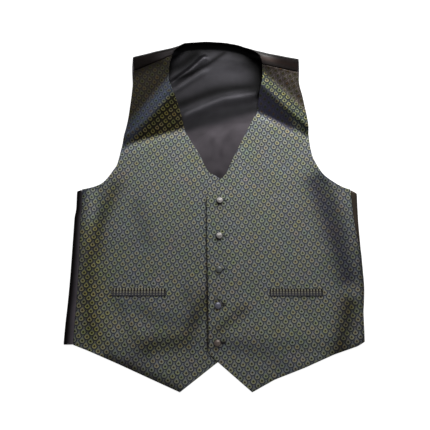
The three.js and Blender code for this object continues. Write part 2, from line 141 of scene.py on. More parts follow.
def straightAt(rows, at):
    rows = sorted(rows)
    if at <= rows[0][0]:
        return rows[0][1]
    for a, b in zip(rows, rows[1:]):
        if at <= b[0]:
            return lerp(a[1], b[1], (at - a[0]) / (b[0] - a[0]))
    return rows[-1][1]


# A stroke is a line of points, its half width (or one for each side of it), how far it fades out past
# its ends, and then what it adds: the height of a fold, or a painted tone of light or shade and its depth.
# This tells how near a place is to a stroke, from 0, far off, to 1, on its line.
def nearness(points, width, end, x, y):
    best = None
    for a, b in zip(points, points[1:]):
        dx, dy = b[0] - a[0], b[1] - a[1]
        length = math.hypot(dx, dy)
        along = ((x - a[0]) * dx + (y - a[1]) * dy) / length
        off = ((x - a[0]) * dy - (y - a[1]) * dx) / length
        past = max(0.0, -along, along - length)
        isEnd = (a is points[0] and along < 0) or (b is points[-1] and along > length)
        gap = math.hypot(off, past) if past else abs(off)
        if best is None or gap < best[0]:
            best = (gap, off, past, isEnd)
    gap, off, past, isEnd = best
    if isinstance(width, tuple):
        width = width[0] if off >= 0 else width[1]
    if isEnd:
        return math.exp(-(off / width) ** 2 - (past / end) ** 2)
    return math.exp(-(gap / width) ** 2)


# height that soft folds add at a place
def foldsAt(folds, x, y):
    return sum(height * nearness(points, width, end, x, y) for points, width, end, height in folds)


# a colour multiplied by a change, as far as the share says
def shadedBy(colour, change, share):
    return [a * lerp(1, b, share) for a, b in zip(colour, change)]


# how far a place lies above a line between two points
def above(line, x, y):
    (ax, ay), (bx, by) = line
    length = math.hypot(bx - ax, by - ay)
    return ((y - ay) * (bx - ax) - (x - ax) * (by - ay)) / length


def blendOf(a, b, t):
    return [lerp(a[k], b[k], t) for k in range(3)]


# how the layers lie, in millimetres
lay = {
    "frontWall": 2.0, "backWall": 1.2, "liningWall": 0.9, "weltWall": 1.6, "gap": 0.3,
    "foldGap": 0.6, "foldGapFade": 6,    # at a seam that runs round a fold, and how soon it narrows
    "height": 4.2,                       # middle of a front's wall, lying on the back
    "tableHeight": 1.3,                  # the same where the hem's points lie on the table
    "pointFall": (-278, -244),           # heights between which the points come down
    "hemReach": -134,                    # the hem's slant is gone from here up
    "settle": 25,                        # from the side fold to where a front lies at rest
    "calm": (0.8, 0.92),                 # part of the way in over which the folds die out
    "lapRise": 3.0, "lapFlat": 22, "lapFade": 30,
    "crestLift": 0.8,                    # of the satin over the fronts at the shoulder folds
    "rows": 3.2, "columns": 3.4, "fine": 1.7,    # size of a cell of the cloth's grid
    "frontWidth": 285,
    "edgeColumns": [0, 0.6, 1.3, 2.1, 3.0, 4.2, 5.8, 8.0],    # the first ones in from the side
    # slight unevenness: its height, pitch across and up, and seed
    "wander": [(0.28, 0.011, 0.008, 3.1), (0.12, 0.03, 0.024, 8.7)],
    "halvings": 30,                      # of the search for a place on a front
}
backHeight = lay["backWall"] / 2

rightFront = {
    "name": "frontRight", "node": "front_right", "hand": -1, "lapped": False,
    "side": [(-260, 270.9), (-227, 270.1), (-184, 268.0), (-130, 266.5), (-66, 265.9), (-25, 265.6),
             (-8, 263.4), (29.8, 264.0)],
    "armhole": [(29.6, 254.4), (34.4, 234.6), (43.4, 216.2), (69.2, 196.6), (79.4, 190.5), (119.4, 182.0),
                (158.9, 174.0), (210.8, 166.9), (234.6, 164.6), (270.6, 162.5)],
    "inner": [(-278, -18), (38, -18), (56, -2), (65.1, 13.5), (99.5, 31), (125, 46.6), (152.4, 60.9),
              (175.6, 66.2), (209.8, 77), (242.8, 88.8), (255.8, 93.3), (279.4, 92.8), (303.9, 87)],
    "hem": [(270.9, -259.2), (250.4, -260.3), (229.1, -268.4), (170.8, -293.0), (117.6, -316.6),
            (62.6, -340.7), (-18, -278.3)],
    "hemPoint": 62.6,
    "armpitDrop": 2.5,
    "seam": [(-259, 19.3), (-124, 16.0), (29.6, 11.0)],
    # outer end, inner end, rise of the outer end, rise of the inner end
    "sections": [(-259.2, -278.3, 2.0, 0), (-225, -231, 1.3, 0), (-144, -142, 1.2, 0), (29.6, 37, 1.2, 0),
                 (81.6, 94.6, 1.0, 0.6), (120.4, 153, 1.2, 1.6), (137.5, 232, 6.0, 14.0),
                 (159.6, 260.5, 6.5, 15.0), (270.6, 303.9, 18.0, 21.0)],
    "folds": [
        ([(226, 31), (219, -104)], 13, 13, -0.9),
        ([(192, -180), (116, -303)], 16, 16, -0.8),
    ],
    "creases": [
        ([(64, 158), (120, 140), (180, 120)], 9, 12, -1.2),
        ([(74, 236), (120, 184), (176, 132)], (12, 9), 10, 2.4),
        ([(90, 266), (135, 212), (178, 160)], 10, 12, -1.6),
        ([(244, 20), (240, -70), (246, -160), (240, -230)], 14, 25, 1.2),
        ([(170, -186), (126, -262), (108, -300)], 11, 16, 1.0),
    ],
    # painted light and shade, from the chest up: the tone that each line between the neck edge and the armhole begins
    "bands": [
        {"line": [(60.3, 154.0), (176.2, 120.5)], "soft": 8, "tone": "gold"},
        {"line": [(76.8, 240.3), (165.7, 127.7)], "soft": 8, "tone": "blue"},
        {"line": [(94.9, 257.1), (185.5, 143.6)], "soft": 8, "tone": "brown"},
    ],
    # painted light and shade along lines: shade on the folds, painted shadows along the hem, the side, the seam and
    # under the lapped edge, painted light low down and a painted highlight
    "shades": [
        ([(192, 34), (219, -40), (233, -110), (236, -171), (225, -234)], 14, 20, "gold", 0.62),
        ([(147, -1), (130, -61)], 16, 20, "blue", 0.35),
        ([(159, -189), (100, -212), (46, -219)], 14, 18, "blue", 0.4),
        ([(20, -180), (55, -251), (117, -260)], 16, 18, "gold", 0.6),
        ([(128, -272), (150, -288)], 18, 20, "paintedShadow", 0.35),
        ([(52, -168), (36, -206)], 12, 14, "navy", 0.35),
        ([(192, -282), (152, -300), (108, -320), (66, -340)], 11, 12, "paintedShadow", 0.85),
        ([(262, 20), (264, -100), (264, -262)], 14, 5, "paintedShadow", 0.75),
        ([(30, -236), (225, -236)], 75, 40, "lit", 0.75),
        ([(236, -60), (222, -130), (218, -250)], 26, 25, "warm", 1.0),
        ([(112, 292), (162, 271)], 12, 10, "paintedShadow", 0.85),
        ([(-8, 50), (17.5, 8), (16.5, -100), (14.5, -268), (-6, -292)], 2.4, 4, "paintedShadow", 1.0),
    ],
    "strapTurn": -22,
    "foldArm": 169.4, "foldNeck": 68.5,
    "grain": 5.5,                        # degrees that the cloth's grain leans
}

leftFront = {
    "name": "frontLeft", "node": "front_left", "hand": 1, "lapped": True,
    "side": [(-254, 264.4), (-233, 265.2), (-203, 265.8), (-181, 268.2), (-152, 270.1), (-114, 269.2),
             (-79, 268.3), (-31, 267.2), (29.8, 267.9)],
    "armhole": [(29.6, 256.4), (35, 241.4), (50, 217.2), (62.1, 204.8), (80.6, 194.1), (98.1, 186.5),
                (124.2, 182.3), (168, 179.4), (197.1, 175.4), (219.3, 171.2), (245.3, 164.8), (268.4, 163.2)],
    "inner": [(-273, -13.6), (-260, -12.9), (8, -17.7), (22.2, -15.2), (32.1, -7.7), (48.2, 7), (60.2, 18.7),
              (87.9, 30.7), (125, 48.3), (151.2, 60.9), (175.3, 73.3), (191.6, 80.6), (231.7, 86.9),
              (255, 91.4), (273.4, 92.6), (284.4, 91.7)],
    "hem": [(264.4, -253.5), (249.9, -262.2), (208.6, -276.3), (155.3, -299.4), (102.4, -319.5), (63, -340.7),
            (2.8, -289.2), (-13.6, -272.5)],
    "hemPoint": 63,
    "armpitDrop": 6.5,
    "seam": [(-254, -2.0), (-144, -1.6), (-102, 0), (-64, 5.4), (-22, 10.2), (29.6, 13.3)],
    "sections": [(-253.5, -272.5, 2.0, 0), (-225, -231, 1.3, 0), (-144, -142, 1.2, 0), (29.6, 34, 1.2, 0),
                 (81.6, 93.8, 1.0, 0.6), (142.4, 190.6, 1.2, 3.0), (155.1, 242, 6.5, 15.0),
                 (195, 271.8, 7.5, 16.8), (268.4, 284.4, 17.5, 20.5)],
    "folds": [
        ([(194, 70), (225, -66), (240, -233)], 13, 13, -1.2),
    ],
    "creases": [
        ([(82, 190), (130, 168), (176, 142)], 9, 12, -1.2),
        ([(88, 244), (128, 204), (178, 156)], (12, 9), 10, 2.4),
        ([(92, 274), (136, 236), (172, 200)], 10, 12, -1.4),
        ([(214, 62), (243, -20), (252, -90), (262, -160), (262, -230)], 12, 25, 1.8),
    ],
    # painted light and shade, from the chest up, as on the other front
    "bands": [
        {"line": [(79.3, 192.4), (164.1, 139.4)], "soft": 7, "until": (142, 166), "tone": "navy"},
        {"line": [(85.8, 248.4), (163.8, 156.2)], "soft": 10, "tone": "bright"},
        {"line": [(99.9, 268.1), (182.1, 183.6)], "soft": 8, "tone": "tan"},
    ],
    # painted light and shade along lines: shade on the folds, painted light low down, and painted shadows along the
    # side, the seam and the hem, round each button and at the buttonholes' ends
    "shades": [
        ([(188, 48), (209, -11), (224, -69), (240, -140)], (21, 28), 14, "deep", 0.95),
        ([(30, -236), (200, -236)], 75, 40, "lit", 1.0),
        ([(60, -80), (150, -110)], 70, 40, "lit", 0.35),
        ([(243, -184), (232, -225), (218, -272)], 19, 12, "umber", 0.85),
        ([(5, -234), (20, -220), (49, -198)], 11, 12, "gold", 0.55),
        ([(34, -260), (82, -272), (122, -294)], 14, 20, "blue", 0.35),
        ([(266, 24), (268, -40), (269, -110), (269, -180), (265, -252)], 6, 8, "paintedShadow", 0.8),
        ([(100, 280), (164, 268)], 5, 10, "paintedShadow", 0.6),
        ([(4.5, 3.6), (8.5, 2.8)], 6, 5, "paintedShadow", 1.0),
        ([(3, -64.5), (7, -65)], 6, 5, "paintedShadow", 1.0),
        ([(3.5, -126.5), (7.5, -127)], 5.5, 4, "paintedShadow", 0.7),
        ([(1, -193), (5, -193)], 5.5, 4, "paintedShadow", 0.8),
        ([(10, -188), (14, -187)], 3, 3, "paintedShadow", 1.0),
        ([(-2, -181), (2.5, -179), (7, -181)], 2.5, 3, "paintedShadow", 0.8),
        ([(0, -260), (4, -260)], 5.5, 4, "paintedShadow", 0.8),
        ([(11, -256), (15, -255.5)], 3.4, 3, "paintedShadow", 1.0),
        ([(63, -341), (150, -303), (262, -256)], 7, 8, "paintedShadow", 0.45),
    ],
    "strapTurn": 27,
    "foldArm": 168.8, "foldNeck": 68.5,
    "grain": -4.9,
}

topEdge = [(-169.6, 305.3), (-130.8, 315.8), (-73.8, 330.6), (-57.6, 339.0), (-16, 341.2), (14.4, 339.6),
           (44.8, 334.0), (68, 323.8), (121.6, 310.8), (168.8, 301.8)]


# painted light and shade: what the rings, the ground and the arcs are multiplied by where the cloth turns to or from
# the light along its folds, or lies in shadow
paintedShadingTones = {
    "gold": ((0.56, 0.50, 0.28), (0.10, 0.08, 0.05), (0.25, 0.2, 0.1)),
    "brown": ((0.15, 0.13, 0.105), (0.17, 0.14, 0.10), (0.5, 0.4, 0.3)),
    "tan": ((0.10, 0.085, 0.085), (0.80, 0.62, 0.49), (1.5, 1.2, 0.9)),
    "navy": ((0.14, 0.14, 0.24), (0.28, 0.25, 0.34), (1.1, 1.0, 1.4)),
    "blue": ((0.22, 0.25, 0.38), (0.36, 0.40, 0.52), (0.9, 0.9, 1.2)),
    # a painted highlight along a strap's fold
    "bright": ((0.60, 0.60, 0.41), (0.26, 0.29, 0.25), (0.4, 0.4, 0.35)),
    # painted shadow under the lapped edge, round the buttons, and along the hem, the seams and the sides
    "paintedShadow": ((0.14, 0.11, 0.09), (0.12, 0.09, 0.10), (0.4, 0.3, 0.3)),
    # painted light where the lamps light the lower fronts less
    "lit": ((1.22, 1.2, 1.15), (1.22, 1.2, 1.15), (1.22, 1.2, 1.15)),
    "deep": ((0.36, 0.35, 0.45), (0.31, 0.29, 0.38), (0.5, 0.45, 0.6)),
    "umber": ((0.42, 0.36, 0.24), (0.16, 0.13, 0.10), (0.4, 0.35, 0.3)),
    # a painted golden highlight
    "warm": ((1.12, 1.06, 0.62), (0.80, 0.76, 0.66), (0.8, 0.7, 0.5)),
}


# painted light and shade of a front at a point: its bands, then its shades
def frontPaintedShading(front, point):
    x, y = front["hand"] * point.x, point.y
    parts = [[1.0] * 3] * 3
    for band in front["bands"]:
        share = ease(-band["soft"], band["soft"], above(band["line"], x, y))
        if "until" in band:
            share *= 1 - ease(*band["until"], x)
        parts = [blendOf(part, tone, share) for part, tone in zip(parts, paintedShadingTones[band["tone"]])]
    for points, width, end, name, depth in front["shades"]:
        share = depth * nearness(points, width, end, x, y)
        parts = [shadedBy(part, tone, share) for part, tone in zip(parts, paintedShadingTones[name])]
    return dict(zip(("ringPaintedShading", "groundPaintedShading", "arcPaintedShading"), parts))


# the strap's cloth is pulled round by the fold under it
def strapTurn(front, point):
    x, y = front["hand"] * point.x, point.y
    return front["strapTurn"] if above(front["bands"][-1]["line"], x, y) > 0 else 0.0


# A front is followed by its sections, named by the height of their outer end, and by the distance along
# a section from the outer edge of the cloth.
def armpitOf(front):
    return front["armhole"][0][0]


def outerEdge(front, v):
    return curveAt(front["armhole"] if v > armpitOf(front) else front["side"], v)


def sectionAt(front, v, column):
    return curveAt([(row[0], row[column]) for row in front["sections"]], v)


def rollRadius(front, v):
    if v > armpitOf(front):
        return 0.0
    return (lay["height"] + sectionAt(front, v, 2) - backHeight) / 2


def lapHeight(x):
    return lay["lapRise"] * (1 - ease(lay["lapFlat"], lay["lapFlat"] + lay["lapFade"], x))


def sectionOf(front, v):
    radius = rollRadius(front, v)
    edge = outerEdge(front, v)
    innerY = sectionAt(front, v, 1)
    quarter = radius * math.pi / 2       # length of cloth a quarter of the way round the side fold
    return {
        "v": v, "radius": radius, "quarter": quarter, "edge": edge, "innerY": innerY,
        "whole": edge - curveAt(front["inner"], innerY) - radius + quarter,
        "outerRise": sectionAt(front, v, 2), "innerRise": sectionAt(front, v, 3),
    }


# a point in millimetres, and how far it lies across the flat cloth
def frontPoint(front, section, s, fine=True):
    radius, quarter, edge = section["radius"], section["quarter"], section["edge"]
    v = section["v"]
    t = clamp(s / section["whole"])
    x = edge - radius - (s - quarter)
    low = front["sections"][0]
    hemX = lerp(front["hem"][0][0], front["hem"][-1][0], t)
    dip = straightAt(front["hem"], hemX) - lerp(low[0], low[1], t)
    y = lerp(v, section["innerY"], t) + dip * (1 - ease(low[0], lay["hemReach"], v))
    if s < quarter:
        angle = s / radius
        flat = (front["hand"] * (edge - radius + radius * math.cos(angle)), y,
                backHeight + radius * (1 + math.sin(angle)))
        return Vector(flat), x
    rise = lerp(section["outerRise"], section["innerRise"], t)
    settle = ease(quarter, quarter + lay["settle"], s)
    rest = lerp(lay["tableHeight"], lay["height"], ease(*lay["pointFall"], y))
    free = settle * (1 - ease(*lay["calm"], t))
    z = lerp(lay["height"], rest, settle) + rise + foldsAt(front["folds"], x, y) * free
    if front["lapped"]:
        z += lapHeight(x)
    if fine:
        z += wander(front["hand"] * x, y) * settle + foldsAt(front["creases"], x, y)
    return Vector((front["hand"] * x, y, z)), x


# both fronts share this unevenness, so that one never sinks into the other
def wander(x, y):
    return sum(height * noise.noise(Vector((x * across, y * up, seed)))
               for height, across, up, seed in lay["wander"])


def placeOn(front, x, y):
    low, high = front["sections"][0][0], front["sections"][-1][0]
    for halving in range(lay["halvings"]):
        section = sectionOf(front, (low + high) / 2)
        s = section["edge"] - section["radius"] + section["quarter"] - x
        if frontPoint(front, section, s, False)[0].y < y:
            low = section["v"]
        else:
            high = section["v"]
    return section, s


# top of a front's cloth at a place
def topOf(front, x, y, lift=0.0):
    section, s = placeOn(front, x, y)
    point = frontPoint(front, section, s)[0]
    point.z += lay["frontWall"] / 2 + lift
    return point


def halfGap(front, section):
    s = curveAt(front["seam"], section["v"])
    narrowed = ease(section["quarter"], section["quarter"] + lay["foldGapFade"], s)
    return lerp(lay["foldGap"], lay["gap"], narrowed) / 2


def rowHeights(front, size):
    heights = []
    rows = front["sections"]
    for a, b in zip(rows, rows[1:]):
        count = max(1, round(max(b[0] - a[0], b[1] - a[1]) / size))
        heights += [lerp(a[0], b[0], i / count) for i in range(count)]
    return heights + [rows[-1][0]]


# a thin shell on a grid of (point, across, up) in millimetres, where a cell may be missing
def clothMesh(name, grid, thickness, finish, inside=None, smooth=1, paintedShadingOf=None, turned=None):
    points, flat, index = [], [], []
    for row in grid:
        line = []
        for entry in row:
            if entry is None:
                line.append(None)
                continue
            line.append(len(points))
            points.append([value * mm for value in entry[0]])
            flat.append((entry[1], entry[2]))
        index.append(line)
    faces = []
    for low, high in zip(index, index[1:]):
        for j in range(len(low) - 1):
            corners = (low[j], low[j + 1], high[j + 1], high[j])
            if None not in corners:
                faces.append(corners)
    piece = newPiece(name, points, faces, finish, inside or finish)
    mesh = piece.data
    clothMap = mesh.uv_layers.new(name="cloth")
    for face in mesh.polygons:
        turn = math.radians(turned(face.center / mm)) if turned else 0.0
        for k in face.loop_indices:
            across, up = flat[mesh.loops[k].vertex_index]
            clothMap.data[k].uv = (1 / mapUnit * (across * math.cos(turn) - up * math.sin(turn)),
                                   1 / mapUnit * (across * math.sin(turn) + up * math.cos(turn)))
    # painted light and shade, kept as colours on the points
    if paintedShadingOf:
        kinds = [paintedShadingOf(Vector(point) / mm) for point in points]
        for kind in kinds[0]:
            colours = mesh.color_attributes.new(name=kind, type="FLOAT_COLOR", domain="POINT")
            for i, entry in enumerate(kinds):
                colours.data[i].color = (*entry[kind], 1)
    shell = piece.modifiers.new("thickness", "SOLIDIFY")
    shell.thickness = thickness * mm
    shell.offset = 0
    shell.use_even_offset = True
    shell.material_offset = 1
    shell.material_offset_rim = 0
    if smooth:
        softened = piece.modifiers.new("softEdges", "SUBSURF")
        softened.levels = softened.render_levels = smooth
        softened.boundary_smooth = "PRESERVE_CORNERS"
    return piece


# faces between rings of points that follow one another
def ringFaces(first, rings, sides):
    faces = []
    for low in range(first, first + (rings - 1) * sides, sides):
        for k in range(sides):
            n = (k + 1) % sides
            faces.append((low + k, low + n, low + sides + n, low + sides + k))
    return faces


def facing(grid, hand):
    return grid if hand < 0 else [list(reversed(row)) for row in grid]


def frontGrid(front):
    hem = front["hem"]
    share = (hem[0][0] - front["hemPoint"]) / (hem[0][0] - hem[-1][0])
    toPoint = round(share * lay["frontWidth"] / lay["columns"])
    toInner = round((1 - share) * lay["frontWidth"] / lay["fine"])
    grid = []
    for v in rowHeights(front, lay["rows"]):
        section = sectionOf(front, v)
        start = 0 if v > armpitOf(front) else curveAt(front["seam"], v) + halfGap(front, section)
        whole = section["whole"]
        stops = [start + column for column in lay["edgeColumns"]]
        begin = stops[-1]
        stops += [lerp(begin, share * whole, k / toPoint) for k in range(1, toPoint + 1)]
        stops += [lerp(share * whole, whole, k / toInner) for k in range(1, toInner + 1)]
        row = []
        for s in stops:
            point, across = frontPoint(front, section, s)
            row.append((point, front["hand"] * across, point.y))
        grid.append(row)
    for point, across, up in grid[-1]:
        point.y -= lay["gap"] / 2
    return grid


back = {
    "rows": 6, "columns": 60, "strapShare": 0.3,
    "armholeInset": 3, "armholeJoin": (178, 292), "armpitReach": 40,
    "armholeRows": 34, "armholeCrowd": 1.25,     # rows between armpit and shoulder fold, closer low down
    "neckline": 0.1,                     # radians up the shoulder fold
    "neckTop": (58, 56),                 # where the neck's rim meets each strap
    "neckPull": 0.85, "armPull": 1.44,   # how soon the straps narrow to their seams over the roll
    "underStep": 8, "overSteps": 10, "seamSteps": 5,
    "wrapReach": 50,                     # degrees round a side fold before the wrap turns to the seam
    "wrapSteps": 12, "wrapStops": (0.15, 0.32, 0.5, 0.68, 0.85, 1),
    # unevenness of the satin's roll over the shoulders: its height, then share, pitch across and round, seed
    "ripple": 0.8, "ripples": [(1, 0.035, 0.9, 5.3), (0.5, 0.09, 0.7, 2.2)],
    # painted sheen of the strips at the sides, which lie within an edge's distance, below a height and off the table
    "rightSidePaintedSheen": (21, 23, 28), "leftSidePaintedSheen": (8.5, 8.5, 7.0),
    "sideWithin": 40, "sideBelow": 32, "sideOver": 3, "sideFade": (3, 17),
    "shoulderFrom": 250, "shoulderOver": 6,      # from where the shades of the shoulders count
    # painted light and shade on the satin over the shoulders: lighter near the neck, darker further out
    "shades": [
        ([(66, 318), (100, 304)], 9, 16, (8.0, 9.8, 10.2)),
        ([(60, 304), (120, 292), (172, 280)], 5, 8, (1.2, 0.9, 0.8)),
        ([(-72, 318), (-104, 304)], 7, 16, (3.1, 3.5, 3.8)),
        ([(-86, 300), (-130, 284), (-168, 270)], 7, 8, (0.5, 0.4, 0.4)),
    ],
}


def crestAt(x):
    ends = []
    for front in (rightFront, leftFront):
        last = front["sections"][-1]
        ends.append((front["hand"] * front["foldNeck"], lay["height"] + last[3] + lay["crestLift"]))
        ends.append((front["hand"] * front["foldArm"], lay["height"] + last[2] + lay["crestLift"]))
    return straightAt(ends, x)


def foldRadius(x):
    return (crestAt(x) - backHeight) / 2


def foldEdge(x):
    return curveAt(topEdge, x) - lay["backWall"] / 2


def roundShoulder(x, angle, lift=0.0):
    ripple = sum(share * noise.noise(Vector((x * across, angle * around, seed)))
                 for share, across, around, seed in back["ripples"])
    radius = foldRadius(x) - lift + back["ripple"] * ripple * max(0.0, math.cos(angle))
    middle = foldEdge(x) - foldRadius(x)
    return Vector((x, middle + radius * math.cos(angle),
                   backHeight + foldRadius(x) + radius * math.sin(angle)))


def sideWrap(front, v):
    section = sectionOf(front, v)
    radius, edge = section["radius"], section["edge"]
    seam = curveAt(front["seam"], v) - halfGap(front, section)
    low = v - front["armpitDrop"] * ease(armpitOf(front) - back["armpitReach"], armpitOf(front), v)
    reach = min(seam - lay["foldGap"], radius * math.radians(back["wrapReach"]))
    points = []
    for k in range(back["wrapSteps"] + 1):
        angle = lerp(-quarterTurn, reach / radius, k / back["wrapSteps"])
        points.append(Vector((front["hand"] * (edge - radius + radius * math.cos(angle)), low,
                              backHeight + radius * (1 + math.sin(angle)))))
    for share in back["wrapStops"]:
        point = frontPoint(front, section, lerp(reach, seam, share))[0]
        point.y = lerp(low, v, share)
        points.append(point)
    return points


def backGrid():
    count = back["columns"]
    strap = round(count * back["strapShare"])
    rightRows = [v for v in rowHeights(rightFront, back["rows"]) if v <= armpitOf(rightFront)]
    low, high = leftFront["sections"][0][0], armpitOf(leftFront)
    grid = []
    for v in rightRows:
        across = curveAt([(rightFront["sections"][k][0], leftFront["sections"][k][0]) for k in range(4)], v)
        right = sideWrap(rightFront, v)[::-1]
        left = sideWrap(leftFront, clamp(across, low, high))
        grid.append(right + [right[-1].lerp(left[0], k / count) for k in range(1, count)] + left)
    side = len(sideWrap(leftFront, 0)) - 1
    empty = [None] * side
    foot = grid[-1][side:side + count + 1]

    def foldX(k):
        return lerp(-rightFront["foldArm"], leftFront["foldArm"], k / count)

    def foldFoot(k):
        return foldEdge(foldX(k)) - foldRadius(foldX(k))

    def armEdge(front, y):
        inside = curveAt(front["armhole"], y) - back["armholeInset"]
        return front["hand"] * lerp(inside, front["foldArm"], ease(*back["armholeJoin"], y))

    for i in range(1, back["armholeRows"]):
        rise = (i / back["armholeRows"]) ** back["armholeCrowd"]
        start = armEdge(rightFront, lerp(foot[0].y, foldFoot(0), rise))
        end = armEdge(leftFront, lerp(foot[count].y, foldFoot(count), rise))
        row = [Vector((lerp(start, end, k / count), lerp(foot[k].y, foldFoot(k), rise), backHeight))
               for k in range(count + 1)]
        grid.append(empty + row + empty)

    ends = {}
    for front in (rightFront, leftFront):
        last = front["sections"][-1]
        ends[front["hand"]] = (
            Vector((front["hand"] * outerEdge(front, last[0]), last[0], 0)),
            Vector((front["hand"] * front["inner"][-1][1], last[1], 0)))

    def seamPoint(k):
        if k <= strap:
            return ends[-1][0].lerp(ends[-1][1], k / strap)
        return ends[1][0].lerp(ends[1][1], (count - k) / strap)

    def isStrap(k):
        return k <= strap or k >= count - strap

    under = [math.radians(degrees) for degrees in range(-90, 0, back["underStep"])]
    over = [lerp(back["neckline"], quarterTurn, i / back["overSteps"]) for i in range(1, back["overSteps"] + 1)]
    turns = under + [back["neckline"]] + over

    # across the roll, from a strap's outer edge to its neck edge, which curves in towards the top
    def strapSpan(hand, turn, angle):
        outerK, innerK = (0, strap) if hand < 0 else (count, count - strap)
        pulled = ease(0, back["armPull"], turn / (len(turns) - 1))
        outer = lerp(foldX(outerK), seamPoint(outerK).x, pulled)
        top = hand * back["neckTop"][0 if hand < 0 else 1]
        if angle <= back["neckline"]:
            return outer, lerp(foldX(innerK), top, ease(-quarterTurn, back["neckline"], angle))
        share = (angle - back["neckline"]) / (quarterTurn - back["neckline"])
        return outer, lerp(top, seamPoint(innerK).x, back["neckPull"] * share)

    for turn, angle in enumerate(turns):
        row = []
        right, left = strapSpan(-1, turn, angle), strapSpan(1, turn, angle)
        for k in range(count + 1):
            if angle > back["neckline"] and not isStrap(k):
                row.append(None)
                continue
            if k <= strap:
                x = lerp(right[0], right[1], k / strap)
            elif k >= count - strap:
                x = lerp(left[0], left[1], (count - k) / strap)
            else:
                x = lerp(right[1], left[1], (k - strap) / (count - 2 * strap))
            row.append(roundShoulder(x, angle))
        grid.append(empty + row + empty)
    crest = grid[-1]
    for i in range(1, back["seamSteps"] + 1):
        row = []
        for k in range(count + 1):
            if not isStrap(k):
                row.append(None)
                continue
            seam = seamPoint(k)
            seam.y += lay["gap"] / 2
            seam.z = crestAt(foldX(k)) - lay["crestLift"]
            row.append(crest[side + k].lerp(seam, i / back["seamSteps"]))
        grid.append(empty + row + empty)
    return unrolled(grid)


# painted sheen and shade on the satin where it turns over the shoulders and the sides
def backPaintedShading(point):
    x, y, z = point
    tone = [1.0] * 3
    if z > back["shoulderOver"] and y > back["shoulderFrom"]:
        for points, width, end, change in back["shades"]:
            tone = shadedBy(tone, change, nearness(points, width, end, x, y))
    inward = outerEdge(rightFront if x < 0 else leftFront, y) - abs(x)
    if inward < back["sideWithin"] and y < back["sideBelow"] and z > back["sideOver"]:
        if x > 0:
            tone = back["leftSidePaintedSheen"]
        else:
            tone = blendOf(tone, back["rightSidePaintedSheen"], ease(*back["sideFade"], inward))
    return {"satinPaintedShading": tone}


# gives each point its place on the flat cloth: distance along its row and its column
def unrolled(grid):
    columns = len(grid[0])
    middle = columns // 2
    up = [0.0] * columns
    flat = []
    for i, row in enumerate(grid):
        across = [0.0] * columns
        for way, order in ((1, range(middle + 1, columns)), (-1, range(middle - 1, -1, -1))):
            run = 0.0
            for j in order:
                here, last = row[j], row[j - way]
                if last is None:
                    across[j] = 0 if here is None else here.x
                    continue
                run += 0 if here is None else (here - last).length
                across[j] = way * run
        line = []
        for j in range(columns):
            if row[j] is None:
                line.append(None)
                continue
            if i == 0 or grid[i - 1][j] is None:
                up[j] = row[j].y
            else:
                up[j] += (row[j] - grid[i - 1][j]).length
            line.append((row[j], across[j] if row[middle] is not None else row[j].x, up[j]))
        flat.append(line)
    return flat


lining = {
    "margin": 18,                        # how far it runs on under the fronts
    "foot": 29, "top": 312, "slack": 1.1, "lapRight": 8, "lapLeft": 14,
    "columns": 60, "rows": 84, "turnRows": 12,
    "sideFade": 0.16, "topFade": 18, "slackFade": 30,      # where the folds die out and the slack comes in
    "folds": [
        ([(-92, 251), (-52, 282), (-24, 310)], (8, 6), 6, 3.8),
        ([(-84, 236), (-30, 276)], 6, 14, 1.0),
        ([(-8, 304), (40, 300)], 20, 20, 1.5),
        ([(-65, 182), (-22, 203), (14, 218), (80, 230)], (12, 10), 9, 2.8),
        ([(-40, 130), (-4, 154), (60, 170)], 12, 14, -0.5),
        ([(12, 108), (16, 130), (28, 154)], 5, 8, 0.45),
        ([(-6, 100), (2, 122), (-4, 140)], 6, 8, 0.3),
    ],
    # painted shade above the upper line; along the shades' lines, painted shadows below 1 and painted highlights above
    # 1
    "upper": {"line": [(-46.7, 151), (78.8, 190)], "soft": 9, "tone": (0.36, 0.39, 0.39)},
    "shades": [
        ([(-72, 208), (-34, 224), (2, 237), (39, 244), (84, 246)], 12, 12, 0.12),
        ([(-62, 178), (-23, 198), (14, 213), (50, 222), (88, 226)], 11, 8, 2.0),
        ([(-52, 158), (0, 184), (84, 200)], 9, 12, 0.62),
        ([(-8, 290), (19, 280), (49, 268)], 17, 14, 1.7),
        ([(-78, 262), (-48, 276), (-16, 296), (17, 322)], 5, 6, 0.10),
        ([(-92, 247), (-52, 279), (-24, 307)], 8, 6, 2.0),
        ([(-26, 304), (-20, 309)], 6, 4, 1.7),
        ([(-84, 238), (-52, 260), (-22, 281)], 4, 10, 1.5),
        ([(-100, 282), (-70, 296), (-40, 320)], 14, 10, 0.07),
        ([(-22, 26), (-6, 44), (8, 60)], 12, 8, 0.5),
        ([(-77, 328), (-32, 336), (19, 336), (59, 324), (86, 294), (93, 249), (90, 226)], 15, 10, 0.05),
        ([(62, 322), (88, 285), (96, 240)], 24, 12, 0.35),
        ([(12, 108), (16, 130), (28, 154)], 5, 8, 0.86),
        ([(-8, 128), (4, 146), (26, 160)], 4, 8, 0.9),
    ],
}


# painted light and shade of the lining at a point
def liningPaintedShading(point):
    x, y, z = point
    upper = lining["upper"]
    tone = blendOf((1, 1, 1), upper["tone"], ease(-upper["soft"], upper["soft"], above(upper["line"], x, y)))
    for points, width, end, change in lining["shades"]:
        tone = shadedBy(tone, [change] * 3, nearness(points, width, end, x, y))
    return {"satinPaintedShading": tone}


